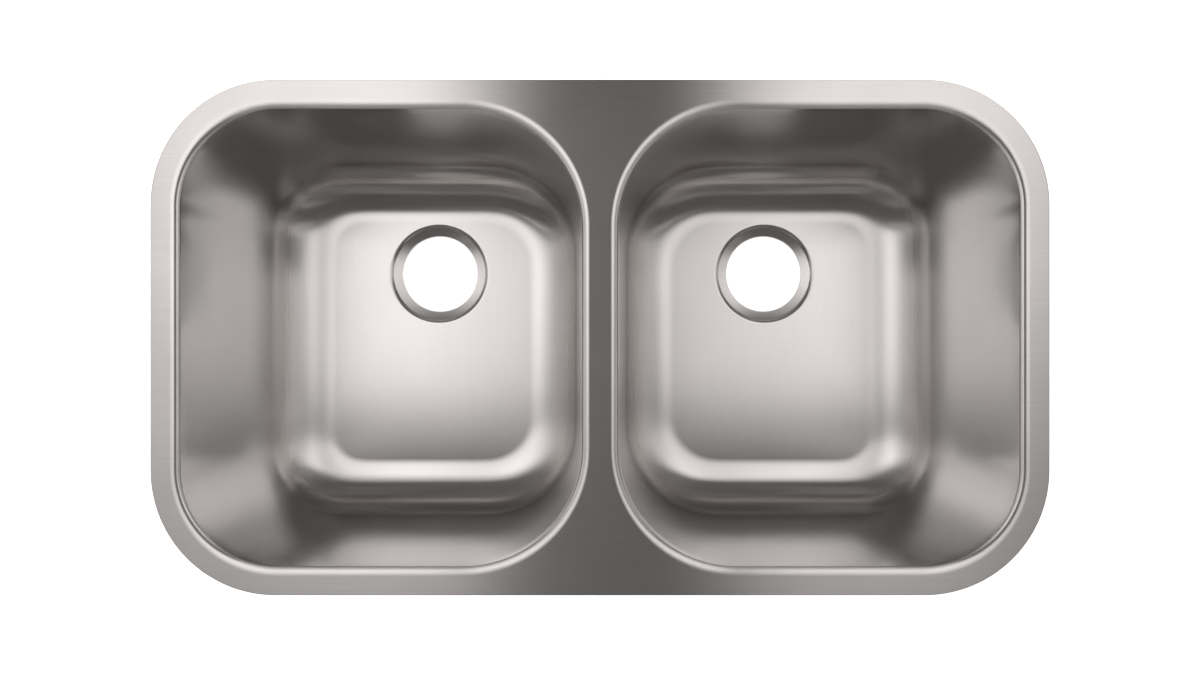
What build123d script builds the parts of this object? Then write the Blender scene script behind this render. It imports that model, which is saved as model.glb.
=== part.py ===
"""Twin-bowl undermount kitchen sink, drawn from stainless steel sheet.

Two deep-drawn bowls, each with its own half of the flat flange, are butt-welded along the middle of
the divider. The outside of each bowl carries a sprayed undercoat and five glued sound pads.

Millimetres. +X is to the right, +Y to the rear and +Z up. The origin is under the middle of the sink,
level with the underside of the two drain lips.
"""
from build123d import *
import math
import os

# Overall size of the sink
overall_width = 819.2  # left to right over the flange
overall_depth = 469.9  # front to back over the flange
bowl_depth = 228.6  # flange top down to the floor, at the middle of the bowl
sheet_thickness = 1.2

# Flange and divider
rim_flat = 17.8  # flat of the flange outside the bowls
divider_flat = 17.8  # flat between the two bowls
flange_corner_radius = 114.0
weld_width = 2.4  # butt weld along the middle of the divider
weld_root = 0.6  # bead standing below the sheet, ground flush on top

# Bowl
divider_corner_radius = 115.0  # corners of the opening beside the divider
rim_bend_radius = 8.0  # roll from the flange down into the wall
wall_draft = 4.0  # degrees that each wall leans in towards the floor
floor_radius = 57.0  # between wall and floor
floor_fall = 0.55  # degrees that the floor falls towards the rear, where the drain is

# Drain opening
drain_hole_diameter = 88.9
drain_lip_width = 0.8  # level lip round the hole
drain_seat_diameter = 115.0  # where the seat leaves the floor
drain_seat_depth = 6.1  # floor down to the lip, on the drain's axis
drain_shoulder_depth = 3.1  # steep step at the outside of the seat
drain_shoulder_run = 2.8  # how far that step comes in
drain_rear_gap = 3.1  # flat floor between the seat and the rounded foot of the rear wall
drain_to_divider = 7.0  # drain axis from the middle of the bowl, towards the divider

# Undercoat and sound pads
coat_thickness = 0.8
coat_below_flange = 14.0  # bare band under the flange, for the fixing clips
coat_drain_gap = 9.0  # bare ring round the drain seat, for the strainer's gasket
side_pad_thickness = 3.0
side_pad_margin = 28.0  # bare wall left round a side pad
bottom_pad_thickness = 5.0
bottom_pad_margin = 12.0  # bare floor left round the bottom pad
bottom_pad_drain_gap = 13.0  # between the drain seat and the bottom pad
pad_corner_radius = 12.0

# Room that the working blocks need beyond the sink itself
block_margin = 20.0

# Places worked out from the sizes above
draft = math.radians(wall_draft)
fall = math.radians(floor_fall)
opening_left = divider_flat / 2
opening_right = overall_width / 2 - rim_flat
opening_half = overall_depth / 2 - rim_flat
bowl_middle = (opening_left + opening_right) / 2
outer_corner_radius = flange_corner_radius - rim_flat

# Insets of the bowl's section, counted inwards from where the flange starts to roll over
wall_top_inset = rim_bend_radius * math.cos(draft)
wall_top_drop = rim_bend_radius * (1 - math.sin(draft))
corner_limit = min(outer_corner_radius, divider_corner_radius)
floor_edge_room = corner_limit - wall_top_inset - bowl_depth * math.tan(draft)
bottom_radius = min(floor_radius, floor_edge_room - sheet_thickness)
wall_foot_drop = bowl_depth - bottom_radius * (1 - math.sin(draft))
wall_foot_inset = wall_top_inset + (wall_foot_drop - wall_top_drop) * math.tan(draft)
floor_edge_inset = wall_foot_inset + bottom_radius * math.cos(draft)

# Drain and heights, counted up from the underside of the drain lips
drain_seat_radius = drain_seat_diameter / 2
drain_lip_radius = drain_hole_diameter / 2 + drain_lip_width
drain_x = bowl_middle - drain_to_divider
drain_y = opening_half - floor_edge_inset - drain_rear_gap - drain_seat_radius
drain_floor_z = sheet_thickness + drain_seat_depth
floor_z = drain_floor_z + drain_y * math.tan(fall)
flange_z = floor_z + bowl_depth


def opening_outline(inset):
    """Rounded outline of the right-hand opening, drawn in by an inset."""
    width = opening_right - opening_left - 2 * inset
    depth = 2 * (opening_half - inset)
    outline = Pos(bowl_middle, 0) * Rectangle(width, depth)
    divider_corners = outline.vertices().sort_by(Axis.X)[:2]
    outline = fillet(divider_corners, divider_corner_radius - inset)
    outer_corners = outline.vertices().sort_by(Axis.X)[-2:]
    return fillet(outer_corners, outer_corner_radius - inset)


def floor_plane(below):
    """Plane of the floor, a distance below the sheet's upper face."""
    plane = Plane(origin=(bowl_middle, 0, floor_z), x_dir=(1, 0, 0), z_dir=(0, math.sin(fall), math.cos(fall)))
    return plane.offset(-below)


def drain_recess(below):
    """Stepped, conical drain seat with a level bottom, a distance below the sheet's upper face."""
    lip_z = drain_floor_z - drain_seat_depth
    shoulder_z = drain_floor_z - drain_shoulder_depth
    shoulder_radius = drain_seat_radius - drain_shoulder_run
    top_z = drain_floor_z + drain_shoulder_depth
    top_radius = drain_seat_radius + drain_shoulder_run
    section = make_face(
        Polyline(
            (0, lip_z),
            (drain_lip_radius, lip_z),
            (shoulder_radius, shoulder_z),
            (top_radius, top_z),
            (0, top_z),
            close=True,
        )
    )
    if below:
        section = offset(section, amount=below, kind=Kind.INTERSECTION)
        section = section & Pos(drain_seat_diameter, 0) * Rectangle(2 * drain_seat_diameter, 2 * flange_z)
    return Pos(drain_x, drain_y, 0) * revolve(Plane.XZ * section, Axis.Z)


def cavity(below):
    """Space inside the right-hand bowl and above it, a distance below the sheet's upper face."""
    flange_inset = (rim_bend_radius - below) * (1 - math.sin(draft)) / math.cos(draft)
    top_inset = flange_inset - block_margin * math.tan(draft)
    top_z = flange_z - below + block_margin
    mouth = Pos(0, 0, top_z) * opening_outline(top_inset)
    space = extrude(mouth, amount=bowl_depth + 3 * block_margin, dir=(0, 0, -1), taper=wall_draft)
    space = split(space, bisect_by=floor_plane(below), keep=Keep.TOP)
    bottom_edges = space.faces().sort_by(Axis.Z)[0].edges()
    return fillet(bottom_edges, bottom_radius + below)


def ground_under(block, below):
    """A block cut to the shape of one face of the sheet, a distance below its upper face."""
    ground = block - cavity(below)
    mouth_edges = ground.faces().sort_by(Axis.Z)[-1].inner_wires()[0].edges()
    ground = fillet(mouth_edges, rim_bend_radius - below)
    return ground - drain_recess(below)


def flange_block():
    """Block under the right-hand half of the flange, up to the flange's top."""
    left = weld_width / 2
    right = overall_width / 2
    outline = Pos((left + right) / 2, 0) * Rectangle(right - left, overall_depth)
    corners = outline.vertices().sort_by(Axis.X)[-2:]
    outline = fillet(corners, flange_corner_radius)
    return extrude(outline, amount=flange_z)


def wide_block(below):
    """Larger block that the underside of the sheet is cut from."""
    width = overall_width / 2 + 2 * block_margin
    depth = overall_depth + 2 * block_margin
    outline = Pos(overall_width / 4, 0, -block_margin) * Rectangle(width, depth)
    return extrude(outline, amount=flange_z - below + block_margin)


def drain_cutter(radius):
    """Upright cylinder on the drain's axis, through the floor."""
    height = 2 * (drain_floor_z + block_margin)
    return Pos(drain_x, drain_y, 0) * Cylinder(radius, height)


def build_bowl():
    """Right-hand bowl with its half of the flange, as one drawn sheet."""
    upper = ground_under(flange_block(), 0)
    lower = ground_under(wide_block(sheet_thickness), sheet_thickness)
    return upper - lower - drain_cutter(drain_hole_diameter / 2)


def build_undercoat():
    """Sprayed skin on the outside of the right-hand bowl."""
    coat_depth = sheet_thickness + coat_thickness
    steel_side = wide_block(sheet_thickness) - cavity(sheet_thickness)
    open_side = wide_block(coat_depth) - cavity(coat_depth)
    coat_top = flange_z - coat_below_flange
    above = Pos(0, 0, coat_top) * Box(2 * overall_width, 2 * overall_depth, flange_z, align=Align.MIN)
    above = Pos(-overall_width, -overall_depth, 0) * above
    return steel_side - open_side - above - drain_cutter(drain_seat_radius + coat_drain_gap)


def pad_slab(length, width, thickness):
    """Flat pad with rounded corners, standing up from its own XY plane."""
    return extrude(RectangleRounded(length, width, pad_corner_radius), amount=thickness)


def wall_plane(across, outward_x, outward_y):
    """Plane on the coated outside of a wall, half way up its flat, with its own X along the wall.

    across is the wall's place, at the height where the flange starts to roll over, from the bowl's
    middle, and outward_x and outward_y point away from the bowl.
    """
    drop = (wall_top_drop + wall_foot_drop) / 2
    inset = (wall_top_inset + wall_foot_inset) / 2
    outward = Vector(outward_x * math.cos(draft), outward_y * math.cos(draft), -math.sin(draft))
    on_steel = Vector(bowl_middle + outward_x * (across - inset), outward_y * (across - inset), flange_z - drop)
    place = on_steel + outward * (sheet_thickness + coat_thickness)
    return Plane(origin=place, x_dir=(-outward_y, outward_x, 0), z_dir=outward)


def build_side_pads():
    """Sound pads on the four walls of the right-hand bowl, by the wall that each is glued to."""
    across_x = (opening_right - opening_left) / 2
    wall_height = (wall_foot_drop - wall_top_drop) / math.cos(draft)
    height = wall_height - 2 * side_pad_margin
    outer_length = 2 * (opening_half - outer_corner_radius - side_pad_margin)
    inner_length = 2 * (opening_half - divider_corner_radius - side_pad_margin)
    end_left = opening_left + divider_corner_radius + side_pad_margin
    end_right = opening_right - outer_corner_radius - side_pad_margin
    end_length = end_right - end_left
    end_shift = Pos((end_left + end_right) / 2 - bowl_middle, 0, 0)
    end_pad = pad_slab(end_length, height, side_pad_thickness)
    pads = {}
    pads["outer_pad"] = wall_plane(across_x, 1, 0) * pad_slab(outer_length, height, side_pad_thickness)
    pads["inner_pad"] = wall_plane(across_x, -1, 0) * pad_slab(inner_length, height, side_pad_thickness)
    pads["rear_pad"] = end_shift * (wall_plane(opening_half, 0, 1) * end_pad)
    pads["front_pad"] = end_shift * (wall_plane(opening_half, 0, -1) * end_pad)
    return pads


def build_bottom_pad():
    """Sound pad under the floor of the right-hand bowl, in front of the drain."""
    left = opening_left + floor_edge_inset + bottom_pad_margin
    right = opening_right - floor_edge_inset - bottom_pad_margin
    front = -opening_half + floor_edge_inset + bottom_pad_margin
    rear = drain_y - drain_seat_radius - bottom_pad_drain_gap
    pad = pad_slab(right - left, rear - front, bottom_pad_thickness)
    under_floor = floor_plane(sheet_thickness + coat_thickness + bottom_pad_thickness)
    return under_floor * (Pos((left + right) / 2 - bowl_middle, (front + rear) / 2, 0) * pad)


def build_weld():
    """Weld bead that joins the two flange halves, flush on top and crowned below."""
    half = weld_width / 2
    sheet_bottom = flange_z - sheet_thickness
    sides = Polyline((-half, sheet_bottom), (-half, flange_z), (half, flange_z), (half, sheet_bottom))
    root = ThreePointArc((half, sheet_bottom), (0, sheet_bottom - weld_root), (-half, sheet_bottom))
    section = Plane.XZ * make_face([*sides.edges(), *root.edges()])
    return extrude(section, amount=overall_depth / 2, both=True)


def build_sink():
    """Every piece of the sink, by its name."""
    right_side = {"bowl": build_bowl(), "undercoat": build_undercoat(), "bottom_pad": build_bottom_pad()}
    right_side.update(build_side_pads())
    pieces = {"centre_weld": build_weld()}
    for name, piece in right_side.items():
        pieces[f"right_{name}"] = piece
        pieces[f"left_{name}"] = mirror(piece, about=Plane.YZ)
    return pieces


os.makedirs("parts", exist_ok=True)
for piece_name, solid in build_sink().items():
    export_step(solid, f"parts/{piece_name}.step")
    print(f"{piece_name}: {solid.volume:.0f} mm3")
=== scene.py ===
"""Twin-bowl undermount kitchen sink, drawn from stainless steel sheet, in a plain studio.

Two pressed bowls share one flat flange and are butt-welded along the divider. A sprayed undercoat and
five rubber sound pads cover the outside of each bowl. Every length is in metres, in the frame of the
solids: +X to the right, +Y to the rear, +Z up, with the floor of the room at zero.
"""
import logging
import math
from dataclasses import dataclass, field, replace
from enum import Enum
from typing import Any, ClassVar, Iterator

import bmesh
import bpy
from bmesh.types import BMesh
from bpy.types import Light, Material, Mesh, Node, NodeSocket, NodeTree, Object
from mathutils import Matrix, Vector, noise


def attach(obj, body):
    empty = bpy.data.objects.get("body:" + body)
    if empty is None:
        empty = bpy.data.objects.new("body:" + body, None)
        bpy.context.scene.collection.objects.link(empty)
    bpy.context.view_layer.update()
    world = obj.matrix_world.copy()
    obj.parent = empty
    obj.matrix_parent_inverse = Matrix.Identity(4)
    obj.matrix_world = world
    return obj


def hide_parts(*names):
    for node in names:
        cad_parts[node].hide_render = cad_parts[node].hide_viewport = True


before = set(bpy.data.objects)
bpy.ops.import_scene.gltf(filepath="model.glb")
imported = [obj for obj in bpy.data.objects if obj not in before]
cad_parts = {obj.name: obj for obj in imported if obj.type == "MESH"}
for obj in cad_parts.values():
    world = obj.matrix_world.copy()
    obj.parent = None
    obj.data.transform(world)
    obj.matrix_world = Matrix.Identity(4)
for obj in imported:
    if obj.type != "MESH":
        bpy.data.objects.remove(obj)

logging.basicConfig(level=logging.INFO, format="%(name)s: %(message)s")
LOG = logging.getLogger("sink")
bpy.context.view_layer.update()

Ring = list[Vector]
Colour = tuple[float, float, float, float]
Span = tuple[float, float]

NOISE_SPAN: Span = (0.3, 0.7)  # where most values of a noise texture lie
TINY = 1e-9  # keeps a division from failing


def mm(length: float) -> float:
    """Millimetres as metres."""
    return length * 0.001


SAME_PLACE = mm(0.001)  # points closer together than this are one


def linear(hex_colour: str) -> Colour:
    """Turn an sRGB hex colour, six digits with a leading hash, into linear RGBA."""
    channels = (int(hex_colour[at:at + 2], 16) / 255 for at in (1, 3, 5))
    return (*(c / 12.92 if c <= 0.04045 else ((c + 0.055) / 1.055) ** 2.4 for c in channels), 1.0)


def mottled(hex_colour: str, tone: float) -> tuple[Colour, ...]:
    """Linear RGBA of a colour made darker and paler by a share."""
    red, green, blue, alpha = linear(hex_colour)
    return tuple((red * by, green * by, blue * by, alpha) for by in (1 - tone, 1 + tone))


def add(tree: NodeTree, kind: str, inputs: dict[Any, Any] | None = None, **settings: Any) -> Node:
    """Add a node with its settings, and fill or link its inputs.

    Args:
        tree: node tree that the node goes into.
        kind: Blender's name for the kind of node.
        inputs: what each input takes, as for fill.
        settings: properties of the node itself.

    Returns:
        The new node.
    """
    node = tree.nodes.new(kind)
    for name, value in settings.items():
        setattr(node, name, value)
    fill(tree, node, inputs or {})
    return node


def fill(tree: NodeTree, node: Node, inputs: dict[Any, Any]) -> None:
    """Fill or link the inputs of a node.

    Args:
        tree: node tree that the node is in.
        node: the node.
        inputs: socket name or number, with its value, an output socket, or a node for that node's first output.
    """
    for key, value in inputs.items():
        if isinstance(value, Node):
            value = value.outputs[0]
        if isinstance(value, NodeSocket):
            tree.links.new(value, node.inputs[key])
        else:
            node.inputs[key].default_value = value


def maths(tree: NodeTree, operation: str, *values: Any) -> Node:
    """Add a node that works one number out of others."""
    return add(tree, "ShaderNodeMath", dict(enumerate(values)), operation=operation)


def below_limit(tree: NodeTree, value: Any, limit: Any) -> Node:
    """Add a node that tells whether a number is below a limit."""
    return add(tree, "FunctionNodeCompare", {0: value, 1: limit}, data_type="FLOAT", operation="LESS_THAN")


def either(tree: NodeTree, test: Node, no: Any, yes: Any) -> Node:
    """Add a node that picks one of two numbers."""
    return add(tree, "GeometryNodeSwitch", {0: test, 1: no, 2: yes}, input_type="FLOAT")


def ranged(tree: NodeTree, value: Any, span: Span, result: Span = (0.0, 1.0), **settings: Any) -> Node:
    """Add a node that carries numbers from one span over to another and stops at its ends."""
    return add(tree, "ShaderNodeMapRange", dict(enumerate((value, *span, *result))), **settings)


def clouds(tree: NodeTree, place: Any, size: float, detail: float) -> Node:
    """Add soft noise with lumps of about a given size."""
    return add(tree, "ShaderNodeTexNoise", {"Vector": place, "Scale": 1 / size, "Detail": detail})


def bumped(tree: NodeTree, height: Node, strength: float, depth: float) -> Node:
    """Add a node that turns a height into relief."""
    return add(tree, "ShaderNodeBump", {"Height": height, "Strength": strength, "Distance": depth})


def tinted(tree: NodeTree, share: Node, first: Colour, second: Colour) -> NodeSocket:
    """Add a node that mixes two colours."""
    return add(tree, "ShaderNodeMix", {0: share, 6: first, 7: second}, data_type="RGBA").outputs[2]


def position(tree: NodeTree) -> Any:
    """Add nodes that give the X, Y and Z of the place at hand."""
    return add(tree, "ShaderNodeSeparateXYZ", {0: add(tree, "GeometryNodeInputPosition")}).outputs


def filleted(tree: NodeTree, curve: Node, radius: Node, count: Any) -> Node:
    """Add a node that rounds the corners of a curve."""
    return add(tree, "GeometryNodeFilletCurve", {"Curve": curve, "Radius": radius, "Count": count}, mode="POLY")


def upright(tree: NodeTree, curve: Node, count: NodeSocket) -> Node:
    """Add nodes that space a path's points evenly and keep the section on it upright."""
    spaced = add(tree, "GeometryNodeResampleCurve", {"Curve": curve, "Count": count}, mode="COUNT")
    return add(tree, "GeometryNodeSetCurveNormal", {"Curve": spaced}, mode="Z_UP")


def shifted(tree: NodeTree, shape: Node, where: Any = True, **offset: Any) -> Node:
    """Add nodes that shift part of a shape along X, Y and Z."""
    by = add(tree, "ShaderNodeCombineXYZ", offset)
    return add(tree, "GeometryNodeSetPosition", {"Geometry": shape, "Selection": where, "Offset": by})


def new_tree(name: str, inputs: dict[str, tuple[str, ...]]) -> NodeTree:
    """Start a Geometry Nodes tree that has a finish among its named inputs.

    Args:
        name: name of the tree.
        inputs: names of the other inputs, by the kind of their socket.

    Returns:
        The tree, with no nodes in it yet.
    """
    tree = bpy.data.node_groups.new(name, "GeometryNodeTree")
    for kind, names in {**inputs, "Material": ("Finish",)}.items():
        for given in names:
            tree.interface.new_socket(given, in_out="INPUT", socket_type=f"NodeSocket{kind}")
    tree.interface.new_socket("Shape", in_out="OUTPUT", socket_type="NodeSocketGeometry")
    return tree


def end_tree(tree: NodeTree, shape: Node, finish: NodeSocket) -> None:
    """End a Geometry Nodes tree with a plain shape in its finish."""
    real = add(tree, "GeometryNodeRealizeInstances", {"Geometry": shape})
    add(tree, "NodeGroupOutput", {
        0: add(tree, "GeometryNodeSetMaterial", {"Geometry": real, "Material": finish})})


def bake_tree(tree: NodeTree, values: dict[str, Any]) -> Mesh:
    """Run a Geometry Nodes tree and keep its result as a plain mesh.

    Args:
        tree: the tree to run.
        values: its inputs by name.

    Returns:
        The baked mesh, with no modifier left.
    """
    holder = new_object("holder", bpy.data.meshes.new("holder"))
    modifier = holder.modifiers.new("tree", "NODES")
    modifier.node_group = tree
    for item in tree.interface.items_tree:
        if item.in_out == "INPUT":
            modifier[item.identifier] = values[item.name]
    holder.update_tag()
    graph = bpy.context.evaluated_depsgraph_get()
    mesh = bpy.data.meshes.new_from_object(holder.evaluated_get(graph))
    holder.modifiers.clear()
    empty = holder.data
    bpy.data.objects.remove(holder)
    bpy.data.meshes.remove(empty)
    return mesh


def new_object(name: str, data: Any) -> Object:
    """Put a new object in the scene.

    Args:
        name: name of the object.
        data: its mesh, light or camera.

    Returns:
        The object.
    """
    made = bpy.data.objects.new(name, data)
    bpy.context.scene.collection.objects.link(made)
    return made


def closed_mesh(bm: BMesh, name: str, sharp_angle: float = math.radians(32)) -> Mesh:
    """Turn a closed shape into a mesh with outward faces, shaded smooth, with its corners kept sharp.

    Args:
        bm: the shape, which is freed.
        name: name of the mesh.
        sharp_angle: angle between two faces from which their edge is a corner.

    Returns:
        The mesh.
    """
    bmesh.ops.recalc_face_normals(bm, faces=bm.faces)
    for face in bm.faces:
        face.smooth = True
    for edge in bm.edges:
        edge.smooth = edge.is_manifold and edge.calc_face_angle(0.0) < sharp_angle
    mesh = bpy.data.meshes.new(name)
    bm.to_mesh(mesh)
    bm.free()
    return mesh


def finish_piece(name: str, mesh: Mesh, materials: list[Material]) -> None:
    """Put a mesh in the scene as the piece that stands for one solid.

    Args:
        name: name of the solid that the piece replaces.
        mesh: the piece's shape.
        materials: its materials, in the order of the mesh's material slots.
    """
    for material in materials:
        mesh.materials.append(material)
    piece = new_object(f"{name}_visual", mesh)
    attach(piece, "root")
    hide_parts(name)
    LOG.info("%s: %d faces", piece.name, len(mesh.polygons))


class Side(Enum):
    """Which half of the sink a piece belongs to, with the sign of its X."""

    LEFT = -1
    RIGHT = 1

    def named(self, piece: str) -> str:
        """Name of a piece on this side."""
        return f"{self.name.lower()}_{piece}"


class Wall(Enum):
    """Walls of the right-hand bowl, with the direction that each faces outside."""

    OUTER = (1, 0)
    INNER = (-1, 0)
    REAR = (0, 1)
    FRONT = (0, -1)


class Grain(Enum):
    """Axis that the brushing on a face runs along."""

    ACROSS = 0
    ALONG = 1

    def uv(self, place: Vector) -> tuple[float, float]:
        """Grain map of a place: U runs across the brushing."""
        return (place.y, -place.x) if self is Grain.ACROSS else (place.x, place.y)


@dataclass(frozen=True)
class SinkSizes:
    """Sizes of the pressed sheet, as the solids have them."""

    overall_width: float = mm(819.2)
    overall_depth: float = mm(469.9)
    bowl_depth: float = mm(228.6)
    sheet: float = mm(1.2)
    coat: float = mm(0.8)
    rim_flat: float = mm(17.8)
    divider_flat: float = mm(17.8)
    weld_width: float = mm(2.4)
    weld_root: float = mm(0.6)
    flange_corner: float = mm(114.0)
    divider_corner: float = mm(115.0)
    rim_bend: float = mm(8.0)
    rim_flatness: float = 0.6  # height of the rim's roll for its width; tighter towards the wall
    draft: float = math.radians(4.0)
    foot_bend: float = mm(57.0)
    fall: float = math.tan(math.radians(0.55))
    hole_radius: float = mm(88.9 / 2)
    lip_width: float = mm(0.8)
    seat_radius: float = mm(115.0 / 2)
    seat_depth: float = mm(6.1)
    shoulder_depth: float = mm(3.1)
    shoulder_run: float = mm(2.8)
    shoulder_bend: float = mm(4.4)  # where the floor rolls over into the drain seat
    cone_bend: float = mm(2.0)  # where the shoulder runs out into the cone
    lip_bend: float = mm(1.0)  # where the cone runs out into the lip
    drain_rear_gap: float = mm(3.1)
    drain_to_divider: float = mm(7.0)
    corner_ease: float = 0.18  # how much rounder a corner gets, for each length that it stands in
    support: float = mm(0.6)  # loop beside a bend, so that the flat next to it stays flat to the eye

    @property
    def opening_left(self) -> float:
        """Divider side of the right-hand opening."""
        return self.divider_flat / 2

    @property
    def opening_right(self) -> float:
        """Outer side of the right-hand opening."""
        return self.overall_width / 2 - self.rim_flat

    @property
    def opening_width(self) -> float:
        """Width of an opening."""
        return self.opening_right - self.opening_left

    @property
    def opening_half(self) -> float:
        """Half of the opening's depth, front to back."""
        return self.overall_depth / 2 - self.rim_flat

    @property
    def middle(self) -> float:
        """X of the middle of the right-hand bowl."""
        return (self.opening_left + self.opening_right) / 2

    @property
    def outer_corner(self) -> float:
        """Corner radius of the opening, away from the divider."""
        return self.flange_corner - self.rim_flat

    @property
    def flat_top(self) -> float:
        """Distance under the flange at which a wall's flat starts."""
        return self.rim_bend * (1 - math.sin(self.draft))

    @property
    def flat_foot(self) -> float:
        """Distance under the flange at which a wall's flat ends."""
        return self.bowl_depth - self.foot_bend * (1 - math.sin(self.draft))

    @property
    def drain_floor_z(self) -> float:
        """Height of the floor on the drain's axis."""
        return self.sheet + self.seat_depth

    @property
    def drain(self) -> Vector:
        """Drain's axis on the floor of the right-hand bowl."""
        y = self.opening_half - self.floor_inset(0.0) - self.drain_rear_gap - self.seat_radius
        return Vector((self.middle - self.drain_to_divider, y, self.drain_floor_z))

    @property
    def flange_z(self) -> float:
        """Height of the flange's top."""
        return self.drain_floor_z + self.drain.y * self.fall + self.bowl_depth

    def wall_inset(self, drop: float, below: float) -> float:
        """Inset of a wall from the opening's edge, under the flange's top, for a skin below the upper face."""
        start = (self.rim_bend - below) * (1 - math.sin(self.draft)) / math.cos(self.draft)
        return start + (drop - below) * math.tan(self.draft)

    def floor_inset(self, below: float) -> float:
        """Inset where the rounded foot meets the flat floor, for a skin below the sheet's upper face."""
        tangent = (self.foot_bend + below) * math.tan((math.pi / 2 - self.draft) / 2)
        return self.wall_inset(self.bowl_depth + below, below) + tangent

    def floor_z(self, y: float, below: float) -> float:
        """Height of the floor, at a distance below the sheet's upper face."""
        return self.flange_z - self.bowl_depth - below - y * self.fall


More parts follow.
